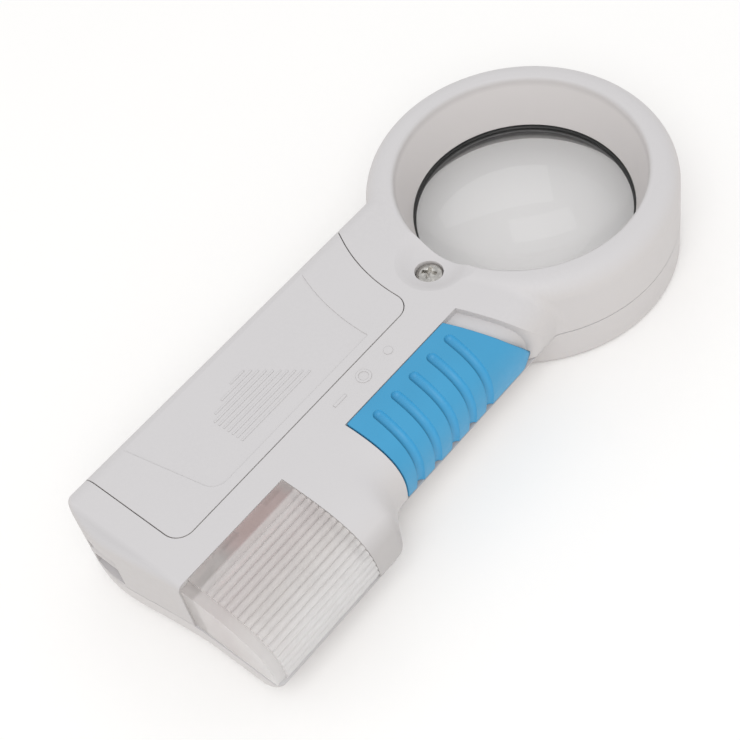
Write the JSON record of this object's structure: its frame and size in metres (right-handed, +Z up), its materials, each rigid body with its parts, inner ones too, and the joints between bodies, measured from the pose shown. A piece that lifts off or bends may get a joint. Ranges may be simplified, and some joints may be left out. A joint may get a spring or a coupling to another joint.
{
  "type": "illuminated hand magnifier",
  "caption": "Hand-held low vision magnifier: round lens in a deep rim, flat battery handle, thumb slider, and a ribbed clear tail lamp at one corner.",
  "frame": {"origin": "centre of the footprint, on the flat underside", "axes": "+Y along the handle toward the lens head, +Z up out of the lens face that carries the battery door, +X toward the thumb slider"},
  "size_m": [0.062, 0.1404, 0.0228],
  "materials": {
    "shell_plastic": "satin",
    "blue_plastic": "satin",
    "clear_plastic": "clear",
    "lens_glass": "polished",
    "black_plastic": "matte",
    "steel": "nickel plated",
    "chrome": "plated",
    "board": "lacquered",
    "brass": "tinned",
    "lamp": "clear",
    "reflector": "gloss",
    "cell": "printed film",
    "resistor": "lacquered",
    "wire_red": "pvc",
    "wire_black": "pvc"
  },
  "bodies": {
    "housing": {"top_shell": "shell_plastic", "bottom_shell": "shell_plastic", "lens": "lens_glass", "lens_gasket": "black_plastic", "lens_retaining_ring": "black_plastic", "switch_body": "steel", "switch_terminals": "brass", "circuit_board": "board", "current_resistors": "resistor", "board_screws": "steel", "head_led_board": "board", "head_leds": "lamp", "head_led_windows": "clear_plastic", "tail_lamp_board": "board", "tail_lamp_leds": "lamp", "tail_lamp_reflector": "reflector", "tail_lamp_window": "clear_plastic", "battery_cell_left": "cell", "battery_cell_right": "cell", "battery_positive_contact": "steel", "battery_negative_contact": "steel", "battery_link_contact": "steel", "battery_springs": "steel", "battery_lead_red": "wire_red", "battery_lead_black": "wire_black", "head_lamp_lead_red": "wire_red", "head_lamp_lead_black": "wire_black", "tail_lamp_lead_red": "wire_red", "tail_lamp_lead_black": "wire_black", "head_screw": "chrome", "housing_screws": "steel"},
    "slider": {"slide_button": "blue_plastic", "switch_lever": "black_plastic"},
    "door": {"battery_door": "shell_plastic"}
  },
  "joints": [
    {"name": "slider_slide", "type": "slide", "parent": "housing", "child": "slider", "axis": [0, 1, 0], "range_m": [0, 0.0037]},
    {"name": "door_slide", "type": "slide", "parent": "housing", "child": "door", "axis": [-1, 0, 0], "range_m": [0, 0.028]}
  ]
}
